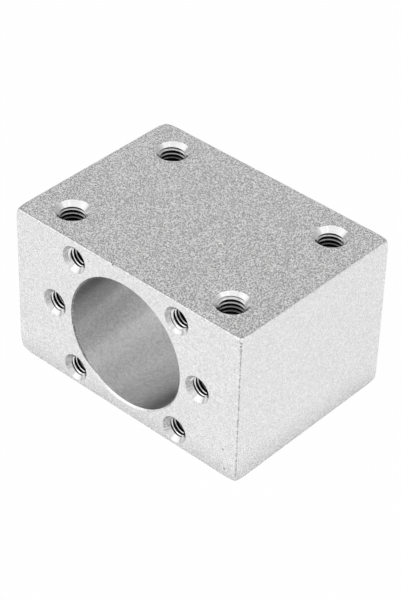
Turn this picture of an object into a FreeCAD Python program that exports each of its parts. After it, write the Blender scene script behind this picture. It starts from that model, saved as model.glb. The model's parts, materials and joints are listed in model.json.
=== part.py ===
import FreeCAD, Part
import math
import os

from FreeCAD import Vector

# Ball screw nut housing: one machined aluminium block, in millimetres.
# X runs across the block, Y along the ball screw, Z up. The origin is at the centre
# of the underside. The nut's flange seats on the front face, at the lowest Y, and the
# table that the screw drives is bolted to the top face.

# Through bore for the body of the ball nut
nut_bore_diameter = 24.0
nut_bore_chamfer = 0.3

# Block, given by its length and by the metal left round the bore
block_length = 36.0
metal_above_bore = 3.0
metal_below_bore = 2.5
metal_beside_bore = 12.75
edge_break = 0.3

# Tapped holes for the nut's flange, in two fans of three, one on each side of the bore
flange_hole_from_bore = 4.0
flange_hole_step = 45.0
flange_thread = 4.0
flange_thread_pitch = 0.7
flange_thread_depth = 10.0

# Tapped holes for the table, one near each corner of the top face
table_hole_from_side = 7.25
table_hole_from_end = 6.0
table_thread = 5.0
table_thread_pitch = 0.8
table_thread_depth = 8.0

# Tapping practice shared by both sets of holes
tap_lead_turns = 2.0
drill_point_angle = 118.0
countersink_angle = 90.0
countersink_over_thread = 1.05

# How far a cutting tool starts outside the face that it cuts
tool_overrun = 1.0

# Worked out from the sizes above
block_width = nut_bore_diameter + 2 * metal_beside_bore
block_height = nut_bore_diameter + metal_above_bore + metal_below_bore
front_y = -block_length / 2
screw_axis_z = metal_below_bore + nut_bore_diameter / 2
flange_hole_circle = nut_bore_diameter + 2 * flange_hole_from_bore
table_hole_x = block_width / 2 - table_hole_from_side
table_hole_y = block_length / 2 - table_hole_from_end


def cone_height(radius, point_angle):
    """Height of a cone with this base radius and full point angle."""
    return radius / math.tan(math.radians(point_angle / 2))


def turned_tool(profile, mouth, inward):
    """Revolve (radius, depth) points round a hole's axis and set the tool at its mouth."""
    points = [Vector(radius, 0, depth) for radius, depth in profile]
    section = Part.Face(Part.makePolygon(points + points[:1]))
    tool = section.revolve(Vector(0, 0, 0), Vector(0, 0, 1), 360)
    tool.Placement = FreeCAD.Placement(mouth, FreeCAD.Rotation(Vector(0, 0, 1), inward))
    return tool


def tapped_hole_tool(thread, pitch, thread_depth, mouth, inward):
    """Blind tap drill hole with a drill point at its bottom and a countersunk mouth."""
    drill = (thread - pitch) / 2
    drill_depth = thread_depth + tap_lead_turns * pitch
    sink = (thread + countersink_over_thread) / 2
    sink_depth = cone_height(sink - drill, countersink_angle)
    flare = sink + tool_overrun * math.tan(math.radians(countersink_angle / 2))
    profile = [
        (0, -tool_overrun),
        (flare, -tool_overrun),
        (drill, sink_depth),
        (drill, drill_depth),
        (0, drill_depth + cone_height(drill, drill_point_angle)),
    ]
    return turned_tool(profile, mouth, inward)


def make_block():
    """Squared block with every outer edge broken."""
    corner = Vector(-block_width / 2, front_y, 0)
    block = Part.makeBox(block_width, block_length, block_height, corner)
    return block.makeChamfer(edge_break, block.Edges)


def nut_bore_tool():
    """Through bore with a small 45 degree chamfer at both mouths."""
    bore = nut_bore_diameter / 2
    flare = bore + nut_bore_chamfer + tool_overrun
    profile = [
        (0, -tool_overrun),
        (flare, -tool_overrun),
        (bore, nut_bore_chamfer),
        (bore, block_length - nut_bore_chamfer),
        (flare, block_length + tool_overrun),
        (0, block_length + tool_overrun),
    ]
    return turned_tool(profile, Vector(0, front_y, screw_axis_z), Vector(0, 1, 0))


def flange_hole_tools():
    """Tapped holes round the bore that take the screws of the nut's flange."""
    tools = []
    for side in (0, 180):
        for fan in (-1, 0, 1):
            angle = math.radians(side + fan * flange_hole_step)
            x = flange_hole_circle / 2 * math.cos(angle)
            z = screw_axis_z + flange_hole_circle / 2 * math.sin(angle)
            tools.append(tapped_hole_tool(
                flange_thread, flange_thread_pitch, flange_thread_depth,
                Vector(x, front_y, z), Vector(0, 1, 0)))
    return tools


def table_hole_tools():
    """Tapped holes in the top face that take the screws of the table."""
    tools = []
    for side in (-1, 1):
        for end in (-1, 1):
            tools.append(tapped_hole_tool(
                table_thread, table_thread_pitch, table_thread_depth,
                Vector(side * table_hole_x, end * table_hole_y, block_height),
                Vector(0, 0, -1)))
    return tools


housing = make_block().cut([nut_bore_tool()] + flange_hole_tools() + table_hole_tools())
if housing.ShapeType == "Compound":
    housing = housing.Solids[0]

os.makedirs("parts", exist_ok=True)
housing.exportStep("parts/housing.step")
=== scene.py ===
import json
import math

import bmesh
import bpy
from mathutils import Matrix, Quaternion, Vector, noise


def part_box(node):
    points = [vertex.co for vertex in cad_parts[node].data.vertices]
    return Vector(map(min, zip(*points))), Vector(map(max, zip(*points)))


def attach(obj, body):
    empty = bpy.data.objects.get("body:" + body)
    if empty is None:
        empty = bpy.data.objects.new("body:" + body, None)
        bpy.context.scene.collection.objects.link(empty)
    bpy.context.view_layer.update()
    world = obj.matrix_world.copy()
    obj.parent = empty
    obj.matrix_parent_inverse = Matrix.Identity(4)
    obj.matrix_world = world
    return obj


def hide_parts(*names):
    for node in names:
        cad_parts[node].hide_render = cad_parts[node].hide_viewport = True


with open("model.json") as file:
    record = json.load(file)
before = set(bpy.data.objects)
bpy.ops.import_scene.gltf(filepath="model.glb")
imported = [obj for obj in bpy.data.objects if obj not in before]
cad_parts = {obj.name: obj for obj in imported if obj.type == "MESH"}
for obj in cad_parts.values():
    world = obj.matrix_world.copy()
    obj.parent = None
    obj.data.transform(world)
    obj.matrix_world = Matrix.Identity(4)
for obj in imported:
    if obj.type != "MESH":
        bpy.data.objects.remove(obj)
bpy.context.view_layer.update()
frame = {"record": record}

# Lengths are in metres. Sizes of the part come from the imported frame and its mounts.
MM = 0.001
NODE = "housing"

# Block, bore and mounts, read from the frame
mounts = {mount["name"]: mount for mount in frame["record"]["mounts"]}
low, high = (Vector(corner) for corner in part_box(NODE))
centre = (low + high) / 2
half = (high - low) / 2
bore_radius = mounts["nut_bore"]["dims"]["r_mm"] * MM
screw_axis_z = mounts["nut_bore"]["pos_m"][2]
front_y = low.y

# Number of each kind of surface on the block, in the order of make_surfaces
(BLASTED, EDGE, SHADED_EDGE, RING, ROUGH_RING, NICK, MACHINED, SHADED_SINK,
 CREST, GROOVE, FLANK, DULL_SHADED_FLANK, BORE) = range(13)

# Rounding of the outer edges: radius, how far it wavers and over what length, and step along an edge
EDGE_RADIUS = 0.27 * MM
EDGE_WOBBLE = 0.05 * MM
EDGE_WOBBLE_SPACING = 1.1 * MM
EDGE_STEP = 0.4 * MM
# Extra rounding at a corner, and how far it reaches from there
CORNER_EXTRA = 0.35 * MM
CORNER_REACH = 1.6 * MM
# Corners that have been knocked, by their side on each axis, with their extra rounding
KNOCKED_CORNERS = {(-1, -1, -1): 0.6 * MM, (-1, 1, 1): 0.5 * MM}
# Reach of the darker lines painted along the front edge and the lower edge of the right face: painted shade
# along the foot, and a painted dark reflection along the front edge
SHADE_REACH_FRONT = 0.17 * MM
SHADE_REACH_FOOT = 0.27 * MM

# Chamfer at both mouths of the bore, as wide as in the CAD model
BORE_CHAMFER = 0.3 * MM
# Sector of the front chamfer that is left rough, in degrees round the bore from its right side upwards
ROUGH_SECTOR = (100, 236)
# Degrees over which the rough part tapers off at both ends of that sector
ROUGH_TAPER = 16
# Share of the chamfer's width that stays bright beside the rough part: at mid sector, and at its ends
ROUGH_BRIGHT = (0.2, 0.9)

# Threads: diameter, pitch, threaded depth, and surface of the flanks that face the mouth
FLANGE_THREAD = (4.0 * MM, 0.7 * MM, 10.0 * MM, FLANK)
# The table threads' flanks are rougher and carry more painted shade: darker, and darkened from a shallower
# depth, than the flange threads' flanks
TABLE_THREAD = (5.0 * MM, 0.8 * MM, 8.0 * MM, DULL_SHADED_FLANK)
# Turns over which a tap runs out, at the bottom of its thread
LEAD_TURNS = 2
# Angle in radians at which each hole's thread starts, in the order of hole_places
THREAD_STARTS = (1.07, 4.1, 0.72, 1.7, 3.32, 4.9, 2.46, 5.36, 4.87, 1.18)
THREAD_STEPS = 40
THREAD_FLANK = math.radians(30)
# How far the crest of a thread is eased, and how far a tap's section reaches inside the drilled wall
CREST_EASE = 0.07 * MM
TAP_OVERLAP = 0.04 * MM

# Tap drill point, and how much wider than its thread a countersink is
DRILL_POINT = math.radians(59)
COUNTERSINK_OVER_THREAD = 1.05 * MM
# Tool marks in a countersink: share of its depth, and how far the wall stands back there
SINK_MARKS = ((0.2, 0.012 * MM), (0.4, -0.012 * MM), (0.6, 0.012 * MM), (0.8, -0.012 * MM))
# Sector of a front countersink that gets painted shade, a darker and rougher surface standing in for the
# dark reflection of the floor at the block's foot, in degrees round the hole from its right side upwards
SHADED_SINK_SECTOR = (100, 205)

# Steps round the bore and round a hole, and how far a tool starts outside its face
BORE_STEPS = 192
HOLE_STEPS = 72
OVERRUN = 1.0 * MM

# Grain of the blasted faces: size of a dimple, and where its rim starts and ends as a share of that size
DIMPLE_SIZE = 0.24 * MM
DIMPLE_RIM = (0.48, 0.53)
# Range of a dimple's random value, from 0 to 1, over which its tone rises
DIMPLE_CHANCE = (0.3, 0.7)

# How uneven a nick is, as a share of its size, and the size of its unevenness
NICK_UNEVEN = 0.6
NICK_GRAIN = 0.3 * MM

# Brightness of the dim back of the studio and of its front, from the horizon (0) up to overhead (1)
BACK_SKY = ((0.0, 0.68), (0.3, 0.49), (0.6, 0.34), (1.0, 0.22))
FRONT_SKY = ((0.0, 0.5), (0.3, 0.88), (0.6, 0.88), (0.8, 0.7), (1.0, 0.4))
FRONT_AZIMUTH = 42
# Where the back passes into the front, as the cosine of the angle from the front's azimuth
FRONT_BLEND = (-0.65, 0.05)
# Size of the floor, and how far it lies below the block
FLOOR_RADIUS = 3.0
FLOOR_GAP = 0.02 * MM
# Plain white in the floor: its share for the camera, and the part of that share that the metal mirrors
FLOOR_WHITE = 0.98
FLOOR_MIRRORED = 0.62
# How far from the block's foot the floor that the metal mirrors is darkened with painted shade
FOOT_SHADE = 4 * MM


def metal(name, tone, roughness):
    """Aluminium of one tone and roughness."""
    material = bpy.data.materials.new(name)
    material.use_nodes = True
    shader = material.node_tree.nodes["Principled BSDF"]
    shader.inputs["Metallic"].default_value = 1.0
    shader.inputs["Base Color"].default_value = (tone, tone, tone, 1)
    shader.inputs["Roughness"].default_value = roughness
    return material


def dimpled(material, tone, tone_spread):
    """Breaks a material up into small dimples, each of its own tone, and returns their texture."""
    nodes, links = material.node_tree.nodes, material.node_tree.links
    place = nodes.new("ShaderNodeTexCoord")
    dimples = nodes.new("ShaderNodeTexVoronoi")
    dimples.inputs["Scale"].default_value = 1 / DIMPLE_SIZE
    links.new(place.outputs["Object"], dimples.inputs["Vector"])
    chance = nodes.new("ShaderNodeSeparateColor")
    links.new(dimples.outputs["Color"], chance.inputs[0])
    tones = nodes.new("ShaderNodeMapRange")
    tones.inputs["From Min"].default_value = DIMPLE_CHANCE[0]
    tones.inputs["From Max"].default_value = DIMPLE_CHANCE[1]
    tones.inputs["To Min"].default_value = tone * (1 - tone_spread)
    tones.inputs["To Max"].default_value = tone * (1 + tone_spread)
    links.new(chance.outputs[0], tones.inputs["Value"])
    links.new(tones.outputs["Result"], nodes["Principled BSDF"].inputs["Base Color"])
    return dimples


def grained(name, tone, tone_spread, glossy, matt):
    """Blasted aluminium: small glossy dimples with matt rims, each dimple of its own tone."""
    material = metal(name, tone, matt)
    nodes, links = material.node_tree.nodes, material.node_tree.links
    dimples = dimpled(material, tone, tone_spread)
    rim = nodes.new("ShaderNodeMapRange")
    rim.inputs["From Min"].default_value = DIMPLE_RIM[0]
    rim.inputs["From Max"].default_value = DIMPLE_RIM[1]
    rim.inputs["To Min"].default_value = glossy
    rim.inputs["To Max"].default_value = matt
    links.new(dimples.outputs["Distance"], rim.inputs["Value"])
    links.new(rim.outputs["Result"], nodes["Principled BSDF"].inputs["Roughness"])
    return material


def turned_metal(name, tone, tone_spread, roughness, stretch):
    """Aluminium turned on a lathe: its gloss is stretched along the axis of the bore."""
    material = metal(name, tone, roughness)
    dimpled(material, tone, tone_spread)
    nodes, links = material.node_tree.nodes, material.node_tree.links
    shader = nodes["Principled BSDF"]
    shader.inputs["Anisotropic"].default_value = stretch
    shader.inputs["Anisotropic Rotation"].default_value = 0.25
    tangent = nodes.new("ShaderNodeTangent")
    tangent.direction_type = "RADIAL"
    tangent.axis = "Y"
    links.new(tangent.outputs["Tangent"], shader.inputs["Tangent"])
    return material


def shaded(name, tone, roughness, deep_tone, start, end):
    """Aluminium inside the tapped holes with painted shade: its tone changes from the start depth to the
    end depth, standing in for the shade that deepens inside the holes.
    """
    material = metal(name, tone, roughness)
    nodes, links = material.node_tree.nodes, material.node_tree.links
    place = nodes.new("ShaderNodeTexCoord")
    split = nodes.new("ShaderNodeSeparateXYZ")
    links.new(place.outputs["Object"], split.inputs[0])
    below_top = nodes.new("ShaderNodeMath")
    below_top.operation = "SUBTRACT"
    below_top.inputs[0].default_value = high.z
    links.new(split.outputs["Z"], below_top.inputs[1])
    behind_front = nodes.new("ShaderNodeMath")
    behind_front.operation = "SUBTRACT"
    behind_front.inputs[1].default_value = low.y
    links.new(split.outputs["Y"], behind_front.inputs[0])
    depth = nodes.new("ShaderNodeMath")
    depth.operation = "MINIMUM"
    links.new(below_top.outputs[0], depth.inputs[0])
    links.new(behind_front.outputs[0], depth.inputs[1])
    fade = nodes.new("ShaderNodeMapRange")
    fade.inputs["From Min"].default_value = start
    fade.inputs["From Max"].default_value = end
    fade.inputs["To Min"].default_value = tone
    fade.inputs["To Max"].default_value = deep_tone
    links.new(depth.outputs[0], fade.inputs["Value"])
    links.new(fade.outputs["Result"], nodes["Principled BSDF"].inputs["Base Color"])
    return material


def make_surfaces():
    """Every material of the block, in the order of its surface numbers."""
    return (
        grained("blasted", tone=0.92, tone_spread=0.05, glossy=0.06, matt=0.98),
        grained("edge", tone=0.88, tone_spread=0.12, glossy=0.2, matt=0.5),
        # Darker rounded edge: painted shade along the foot and a painted dark reflection along the front
        # edge
        grained("shaded_edge", tone=0.62, tone_spread=0.25, glossy=0.2, matt=0.5),
        grained("ring", tone=0.9, tone_spread=0.05, glossy=0.15, matt=0.35),
        grained("rough_ring", tone=0.3, tone_spread=0.4, glossy=0.2, matt=0.5),
        metal("nick", tone=0.45, roughness=0.5),
        metal("machined", tone=0.78, roughness=0.16),
        # Darker, rougher countersink sector: painted shade, the dark reflection of the floor at the block's
        # foot
        grained("shaded_sink", tone=0.55, tone_spread=0.18, glossy=0.2, matt=0.45),
        # Thread and tap drill surfaces: dark tones, and painted shade that darkens them with depth in the
        # holes
        shaded("crest", tone=0.2, roughness=0.2, deep_tone=0.02, start=0.8 * MM, end=2.0 * MM),
        shaded("groove", tone=0.3, roughness=0.3, deep_tone=0.01, start=0.6 * MM, end=1.5 * MM),
        shaded("flank", tone=0.9, roughness=0.08, deep_tone=0.1, start=1.5 * MM, end=2.7 * MM),
        shaded("dull_shaded_flank", tone=0.8, roughness=0.2, deep_tone=0.1, start=0.8 * MM, end=2.8 * MM),
        turned_metal("bore", tone=0.84, tone_spread=0.07, roughness=0.27, stretch=0.95),
    )


surfaces = make_surfaces()


def edge_radius(point):
    """Rounding radius at a point near the block's edges: it wavers, and is larger at the corners."""
    sides = tuple(1 if point[i] > centre[i] else -1 for i in range(3))
    extra = KNOCKED_CORNERS.get(sides, CORNER_EXTRA)
    reach = CORNER_REACH + extra
    from_corner = Vector([half[i] - abs(point[i] - centre[i]) for i in range(3)]).length
    wobble = noise.noise(point / EDGE_WOBBLE_SPACING) * EDGE_WOBBLE
    return EDGE_RADIUS + wobble + extra * max(0.0, 1 - from_corner / reach) ** 2


def stations(length):
    """Grid lines along one axis as (side, share of the radius, share of the flat half length)."""
    count = round(length / EDGE_STEP)
    flat = [(0, 0.0, 2 * i / count - 1) for i in range(1, count)]
    band = (1.0, math.tan(math.radians(22.5)), 0.0)
    return [(-1, b, -1.0) for b in band] + flat + [(1, b, 1.0) for b in reversed(band)]


def block_point(lines):
    """Place of the grid point where these three grid lines meet on the rounded block."""
    nominal = Vector([centre[i] + lines[i][2] * half[i] for i in range(3)])
    radius = edge_radius(nominal)
    inner, out = Vector(centre), Vector()
    for i, (side, share, along) in enumerate(lines):
        if side:
            inner[i] += side * (half[i] - radius)
            out[i] = side * share * radius
        else:
            ends = [nominal.copy(), nominal.copy()]
            ends[0][i], ends[1][i] = low[i], high[i]
            first, last = low[i] + edge_radius(ends[0]), high[i] - edge_radius(ends[1])
            inner[i] = first + (last - first) * (along + 1) / 2
    out.length = radius
    return inner + out


def edge_surface(point):
    """Surface of the rounded edges at a point: two edges of the right face are painted darker, with painted
    shade at the foot and a painted dark reflection on the front edge.
    """
    right = high.x - point.x < SHADE_REACH_FRONT
    painted_dark = right and (point.y - low.y < SHADE_REACH_FRONT or point.z - low.z < SHADE_REACH_FOOT)
    return SHADED_EDGE if painted_dark else EDGE


def make_block():
    """The block with rounded edges: strips and corners as small quads, each flat side as one face."""
    band = 2  # Rows of quads that round an edge on each side of its middle
    bm = bmesh.new()
    grid = [stations(2 * half[i]) for i in range(3)]
    made = {}

    def vert(index):
        if index not in made:
            made[index] = bm.verts.new(block_point([grid[i][index[i]] for i in range(3)]))
        return made[index]

    for axis in range(3):
        u, v = (axis + 1) % 3, (axis + 2) % 3
        last_u, last_v = len(grid[u]) - 1, len(grid[v]) - 1
        for end in (0, len(grid[axis]) - 1):

            def at(i, j):
                index = [0, 0, 0]
                index[axis], index[u], index[v] = end, i, j
                return vert(tuple(index))

            for i in range(last_u):
                for j in range(last_v):
                    if band <= i < last_u - band and band <= j < last_v - band:
                        continue
                    face = bm.faces.new([at(i, j), at(i + 1, j), at(i + 1, j + 1), at(i, j + 1)])
                    face.material_index = edge_surface(face.calc_center_median())
            rim = [at(i, band) for i in range(band, last_u - band)]
            rim += [at(last_u - band, j) for j in range(band, last_v - band)]
            rim += [at(i, last_v - band) for i in range(last_u - band, band, -1)]
            rim += [at(band, j) for j in range(last_v - band, band, -1)]
            bm.faces.new(rim).material_index = BLASTED
    return finished(bm, "block")


def finished(bm, name):
    """The bmesh as an object, with every face turned outwards."""
    bmesh.ops.recalc_face_normals(bm, faces=bm.faces)
    mesh = bpy.data.meshes.new(name)
    bm.to_mesh(mesh)
    bm.free()
    for material in surfaces:
        mesh.materials.append(material)
    thing = bpy.data.objects.new(name, mesh)
    bpy.context.scene.collection.objects.link(thing)
    return thing


def turned(bm, profile, place, steps):
    """Closed solid of revolution from (radius, depth, material) points, first and last on the axis."""
    rings = []
    for radius, depth, _ in profile:
        turns = range(steps) if radius else range(1)
        angles = [math.tau * i / steps for i in turns]
        rings.append([bm.verts.new(place @ Vector((radius * math.cos(a), radius * math.sin(a), depth)))
                      for a in angles])
    for before, after, (_, _, material) in zip(rings, rings[1:], profile[1:]):
        for i in range(steps):
            corners = [before[i % len(before)], before[(i + 1) % len(before)],
                       after[(i + 1) % len(after)], after[i % len(after)]]
            bm.faces.new(list(dict.fromkeys(corners))).material_index = material


def drill(bm, thread, place):
    """Tap drill with its point, and the countersink at the mouth with its tool marks."""
    diameter, pitch, depth, _ = thread
    radius = (diameter - pitch) / 2
    sink = (diameter + COUNTERSINK_OVER_THREAD) / 2
    sink_depth = sink - radius
    bottom = depth + LEAD_TURNS * pitch
    marks = [(sink - share * sink_depth + back, share * sink_depth + back, MACHINED)
             for share, back in SINK_MARKS]
    turned(bm, [
        (0, -OVERRUN, MACHINED),
        (sink + OVERRUN, -OVERRUN, MACHINED),
        (sink, 0, MACHINED),
        *marks,
        (radius, sink_depth, MACHINED),
        (radius, bottom, CREST),
        (0, bottom + radius / math.tan(DRILL_POINT), GROOVE),
    ], place, HOLE_STEPS)


def tap(bm, thread, place, start):
    """The groove that a tap cuts: a V section along a right hand helix, running out at its end."""
    diameter, pitch, depth, flank = thread
    crest = (diameter - pitch) / 2
    inner = crest - TAP_OVERLAP
    count = round(depth / pitch * THREAD_STEPS)
    rings = []
    for i in range(count + 1):
        angle = start + math.tau * i / THREAD_STEPS
        along = pitch * i / THREAD_STEPS
        fade = min(1.0, (count - i + 1) / (LEAD_TURNS * THREAD_STEPS))
        root = inner + (diameter / 2 - inner) * fade
        knee = inner + (crest + CREST_EASE - inner) * fade
        root_half = pitch / 16
        knee_half = root_half + (root - knee) * math.tan(THREAD_FLANK)
        inner_half = knee_half + knee - inner
        upper = [(inner, inner_half), (knee, knee_half), (root, root_half)]
        section = upper + [(r, -z) for r, z in reversed(upper)]
        rings.append([bm.verts.new(place @ Vector((r * math.cos(angle), r * math.sin(angle), along + z)))
                      for r, z in section])
    sides = len(rings[0])
    for before, after in zip(rings, rings[1:]):
        for k in range(sides):
            corners = [before[k], before[(k + 1) % sides], after[(k + 1) % sides], after[k]]
            bm.faces.new(corners).material_index = flank if k in (0, 1) else GROOVE
    bm.faces.new(rings[0]).material_index = GROOVE
    bm.faces.new(rings[-1]).material_index = GROOVE


def hole_places():
    """(thread, place) of every tapped hole. The place puts a hole's mouth at 0 and its depth along +Z."""
    inward_y = Matrix.Rotation(math.radians(-90), 4, "X")
    inward_down = Matrix.Rotation(math.radians(180), 4, "X")
    level_x = mounts["flange_side_screws"]["dims"]["spacing_x_mm"] / 2 * MM
    fan = mounts["flange_screws"]["dims"]
    fan_x, fan_z = fan["spacing_x_mm"] / 2 * MM, fan["spacing_y_mm"] / 2 * MM
    table = mounts["table_screws"]["dims"]
    table_x, table_y = table["spacing_x_mm"] / 2 * MM, table["spacing_y_mm"] / 2 * MM
    places = []
    for side in (-1, 1):
        for x, z in ((level_x, 0), (fan_x, fan_z), (fan_x, -fan_z)):
            mouth = Vector((side * x, front_y, screw_axis_z + z))
            places.append((FLANGE_THREAD, Matrix.Translation(mouth) @ inward_y))
        for end in (-1, 1):
            mouth = Vector((side * table_x, end * table_y, high.z))
            places.append((TABLE_THREAD, Matrix.Translation(mouth) @ inward_down))
    return places


def bore_angle(point):
    """Angle of a point round the bore in degrees, from its right side upwards."""
    return math.degrees(math.atan2(point.z - screw_axis_z, point.x)) % 360


def chamfer_point(share):
    """(radius, depth) of a point at this share of the bore chamfer's width, from the face inwards."""
    return bore_radius + BORE_CHAMFER * (1 - share), BORE_CHAMFER * share


def taper_rough_ring(bm):
    """Narrows the rough part of the front chamfer towards the ends of its sector."""
    ring_y = front_y + chamfer_point(ROUGH_BRIGHT[0])[1]
    tolerance = 0.001 * MM
    for vert in bm.verts:
        if abs(vert.co.y - ring_y) > tolerance:
            continue
        angle = bore_angle(vert.co)
        from_end = min(angle - ROUGH_SECTOR[0], ROUGH_SECTOR[1] - angle)
        taper = min(1.0, max(0.0, 1 - from_end / ROUGH_TAPER))
        radius, depth = chamfer_point(ROUGH_BRIGHT[0] + (ROUGH_BRIGHT[1] - ROUGH_BRIGHT[0]) * taper)
        vert.co = (radius * math.cos(math.radians(angle)), front_y + depth,
                   screw_axis_z + radius * math.sin(math.radians(angle)))


def shade_countersinks(bm):
    """Marks the sector of each front countersink that gets painted shade, a darker and rougher surface."""
    mouths = [hole.translation for thread, hole in hole_places() if thread == FLANGE_THREAD]
    for face in bm.faces:
        spot = face.calc_center_median()
        if face.material_index != MACHINED or spot.y > front_y + OVERRUN:
            continue
        mouth = min(mouths, key=lambda place: (place - spot).length)
        angle = math.degrees(math.atan2(spot.z - mouth.z, spot.x - mouth.x)) % 360
        if SHADED_SINK_SECTOR[0] < angle < SHADED_SINK_SECTOR[1]:
            face.material_index = SHADED_SINK


def make_drills():
    """Everything that is drilled or bored: the nut's bore, the tap drill holes and the countersinks."""
    bm = bmesh.new()
    length = high.y - low.y
    place = Matrix.Translation((0, front_y, screw_axis_z)) @ Matrix.Rotation(math.radians(-90), 4, "X")
    flare = bore_radius + BORE_CHAMFER + OVERRUN
    turned(bm, [
        (0, -OVERRUN, MACHINED),
        (flare, -OVERRUN, RING),
        (*chamfer_point(ROUGH_BRIGHT[0]), RING),
        (bore_radius, BORE_CHAMFER, ROUGH_RING),
        (bore_radius, length - BORE_CHAMFER, BORE),
        (flare, length + OVERRUN, RING),
        (0, length + OVERRUN, MACHINED),
    ], place, BORE_STEPS)
    for face in bm.faces:
        rough = ROUGH_SECTOR[0] < bore_angle(face.calc_center_median()) < ROUGH_SECTOR[1]
        if face.material_index == ROUGH_RING and not rough:
            face.material_index = RING
    taper_rough_ring(bm)
    for thread, hole in hole_places():
        drill(bm, thread, hole)
    shade_countersinks(bm)
    return finished(bm, "drills")


def make_taps():
    """The thread grooves of all the tapped holes."""
    bm = bmesh.new()
    for (thread, hole), start in zip(hole_places(), THREAD_STARTS):
        tap(bm, thread, hole, start)
    return finished(bm, "taps")


def nick_places():
    """(place, size) of the small dents that the photograph shows on the edges and on the front face."""
    front_edge = (high.x, low.y)
    shallow_y = low.y - 0.08 * MM
    return [
        (Vector((-4.0 * MM, high.y, high.z)), 0.4 * MM),
        (Vector((5.9 * MM, high.y, high.z)), 0.28 * MM),
        (Vector((low.x, 6.0 * MM, high.z)), 0.4 * MM),
        (Vector((-2.6 * MM, low.y, high.z)), 0.25 * MM),
        (Vector((1.0 * MM, low.y, low.z)), 0.35 * MM),
        (Vector((-18.7 * MM, low.y, low.z)), 0.4 * MM),
        (Vector((5.6 * MM, low.y, low.z)), 0.3 * MM),
        (Vector((high.x, -5.6 * MM, low.z)), 0.35 * MM),
        (Vector((*front_edge, 28.7 * MM)), 0.33 * MM),
        (Vector((*front_edge, 28.2 * MM)), 0.3 * MM),
        (Vector((21.9 * MM, shallow_y, 5.5 * MM)), 0.22 * MM),
        (Vector((22.3 * MM, shallow_y, 1.7 * MM)), 0.22 * MM),
    ]


def make_nicks():
    """Small uneven lumps that are cut out of the block as dents."""
    bm = bmesh.new()
    for place, size in nick_places():
        made = bmesh.ops.create_icosphere(bm, subdivisions=2, radius=size, matrix=Matrix.Translation(place))
        for vert in made["verts"]:
            vert.co += (vert.co - place) * NICK_UNEVEN * noise.noise(vert.co / NICK_GRAIN)
    for face in bm.faces:
        face.material_index = NICK
    return finished(bm, "nicks")


def cut(body, tool):
    """Cuts the tool's solids out of the body's mesh for good."""
    modifier = body.modifiers.new("cut", "BOOLEAN")
    modifier.operation = "DIFFERENCE"
    modifier.solver = "MANIFOLD"
    modifier.object = tool
    bpy.context.view_layer.update()
    evaluated = body.evaluated_get(bpy.context.evaluated_depsgraph_get())
    result = bpy.data.meshes.new_from_object(evaluated)
    body.modifiers.clear()
    body.data = result
    bpy.data.objects.remove(tool)


def make_housing():
    """The housing: block, drilled and tapped, with a material for each kind of surface."""
    body = make_block()
    cut(body, make_drills())
    cut(body, make_taps())
    cut(body, make_nicks())
    body.name = "tapped_housing"
    body.data.shade_smooth()
    body.data.set_sharp_from_angle(angle=math.radians(30))
    weighted = body.modifiers.new("even_flats", "WEIGHTED_NORMAL")
    weighted.keep_sharp = True
    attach(body, "root")
    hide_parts(NODE)
    return body


def make_floor():
    """Plain pale floor: white to the camera, light grey to the metal and, with painted shade, darker round
    the block's foot.
    """
    bpy.ops.mesh.primitive_circle_add(vertices=96, radius=FLOOR_RADIUS, fill_type="NGON",
                                      location=(0, 0, -FLOOR_GAP))
    floor = bpy.context.object
    floor.name = "floor"
    material = bpy.data.materials.new("pale_floor")
    material.use_nodes = True
    nodes, links = material.node_tree.nodes, material.node_tree.links
    paint = nodes["Principled BSDF"]
    paint.inputs["Base Color"].default_value = (0.9, 0.9, 0.9, 1)
    paint.inputs["Roughness"].default_value = 1.0
    paint.inputs["Specular IOR Level"].default_value = 0.0
    foot = nodes.new("ShaderNodeAmbientOcclusion")
    foot.inputs["Distance"].default_value = FOOT_SHADE
    path = nodes.new("ShaderNodeLightPath")
    level = nodes.new("ShaderNodeMath")
    level.operation = "MAXIMUM"
    links.new(foot.outputs["AO"], level.inputs[0])
    links.new(path.outputs["Is Camera Ray"], level.inputs[1])
    white = nodes.new("ShaderNodeEmission")
    links.new(level.outputs[0], white.inputs["Strength"])
    seen = nodes.new("ShaderNodeMath")
    seen.operation = "MULTIPLY_ADD"
    seen.use_clamp = True
    seen.inputs[1].default_value = FLOOR_MIRRORED
    links.new(path.outputs["Is Glossy Ray"], seen.inputs[0])
    links.new(path.outputs["Is Camera Ray"], seen.inputs[2])
    share = nodes.new("ShaderNodeMath")
    share.operation = "MULTIPLY"
    share.inputs[1].default_value = FLOOR_WHITE
    links.new(seen.outputs[0], share.inputs[0])
    mix = nodes.new("ShaderNodeMixShader")
    links.new(share.outputs[0], mix.inputs["Fac"])
    links.new(paint.outputs["BSDF"], mix.inputs[1])
    links.new(white.outputs["Emission"], mix.inputs[2])
    links.new(mix.outputs["Shader"], nodes["Material Output"].inputs["Surface"])
    floor.data.materials.append(material)


def direction(azimuth, elevation):
    """Unit vector from the object: azimuth 0 is towards the viewer of the front, 90 its right side."""
    a, e = math.radians(azimuth), math.radians(elevation)
    return Vector((math.sin(a) * math.cos(e), -math.cos(a) * math.cos(e), math.sin(e)))


def softbox(name, azimuth, elevation, distance, size, radiance):
    """Square area lamp facing the object. Its power is set from the radiance of its face."""
    lamp = bpy.data.lights.new(name, "AREA")
    lamp.shape = "SQUARE"
    lamp.size = size
    lamp.energy = radiance * math.pi * size * size
    thing = bpy.data.objects.new(name, lamp)
    thing.location = centre + direction(azimuth, elevation) * distance
    thing.rotation_mode = "QUATERNION"
    thing.rotation_quaternion = direction(azimuth, elevation).to_track_quat("Z", "Y")
    bpy.context.scene.collection.objects.link(thing)


def height_ramp(nodes, links, height, stops):
    """Grey ramp over the height in the sky, from (height, tone) stops."""
    ramp = nodes.new("ShaderNodeValToRGB")
    links.new(height, ramp.inputs["Fac"])
    elements = ramp.color_ramp.elements
    while len(elements) < len(stops):
        elements.new(0.5)
    for element, (place, tone) in zip(elements, stops):
        element.position = place
        element.color = (tone, tone, tone, 1)
    return ramp


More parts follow.
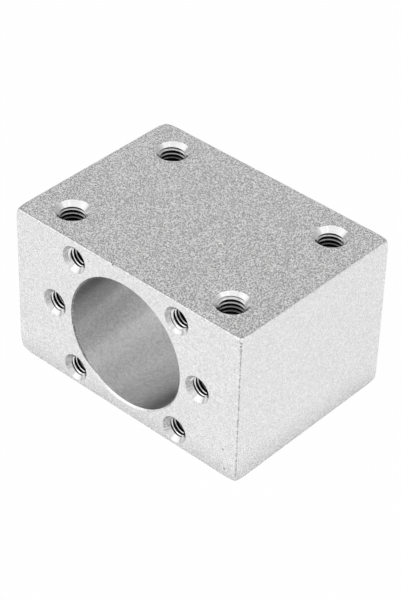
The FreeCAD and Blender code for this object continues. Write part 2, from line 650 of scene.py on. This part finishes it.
def make_sky():
    """World light: a pale studio in front of the object and a dimmer one behind it."""
    world = bpy.data.worlds.new("studio")
    bpy.context.scene.world = world
    world.use_nodes = True
    nodes, links = world.node_tree.nodes, world.node_tree.links
    place = nodes.new("ShaderNodeTexCoord")
    split = nodes.new("ShaderNodeSeparateXYZ")
    links.new(place.outputs["Generated"], split.inputs[0])
    back, front = (height_ramp(nodes, links, split.outputs["Z"], stops) for stops in (BACK_SKY, FRONT_SKY))
    ahead = nodes.new("ShaderNodeVectorMath")
    ahead.operation = "DOT_PRODUCT"
    ahead.inputs[1].default_value = direction(FRONT_AZIMUTH, 0)
    links.new(place.outputs["Generated"], ahead.inputs[0])
    share = nodes.new("ShaderNodeMapRange")
    share.inputs["From Min"].default_value = FRONT_BLEND[0]
    share.inputs["From Max"].default_value = FRONT_BLEND[1]
    links.new(ahead.outputs["Value"], share.inputs["Value"])
    mix = nodes.new("ShaderNodeMix")
    mix.data_type = "RGBA"
    links.new(share.outputs["Result"], mix.inputs[0])
    links.new(back.outputs["Color"], mix.inputs[6])
    links.new(front.outputs["Color"], mix.inputs[7])
    links.new(mix.outputs[2], nodes["Background"].inputs["Color"])


def make_light():
    """Soft studio light: the sky, and three large softboxes from the left round to the right."""
    make_sky()
    softbox("softbox_left", azimuth=-40, elevation=36, distance=1.2, size=1.2, radiance=0.42)
    softbox("softbox_camera_side", azimuth=41, elevation=54, distance=1.2, size=1.0, radiance=0.42)
    softbox("softbox_right", azimuth=100, elevation=40, distance=1.2, size=0.8, radiance=0.4)


def make_camera():
    """Camera fitted to the block's corners, edges and holes in the photograph."""
    azimuth, elevation, roll = 41.447, 38.159, 1.665
    distance = 350.84 * MM
    aim = Vector((0.559, -0.289, 14.003)) * MM
    focal_px, long_side_px = 2102.3, 601
    camera = bpy.data.cameras.new("camera")
    camera.sensor_fit = "AUTO"
    camera.sensor_width = 36.0
    camera.lens = focal_px * camera.sensor_width / long_side_px
    camera.clip_start, camera.clip_end = 0.01, 10.0
    thing = bpy.data.objects.new("camera", camera)
    back = direction(azimuth, elevation)
    thing.location = aim + back * distance
    thing.rotation_mode = "QUATERNION"
    thing.rotation_quaternion = (-back).to_track_quat("-Z", "Y") @ Quaternion((0, 0, 1), math.radians(roll))
    bpy.context.scene.collection.objects.link(thing)
    bpy.context.scene.camera = thing


make_camera()
make_housing()
make_floor()
make_light()
bpy.context.scene.view_settings.view_transform = "Standard"
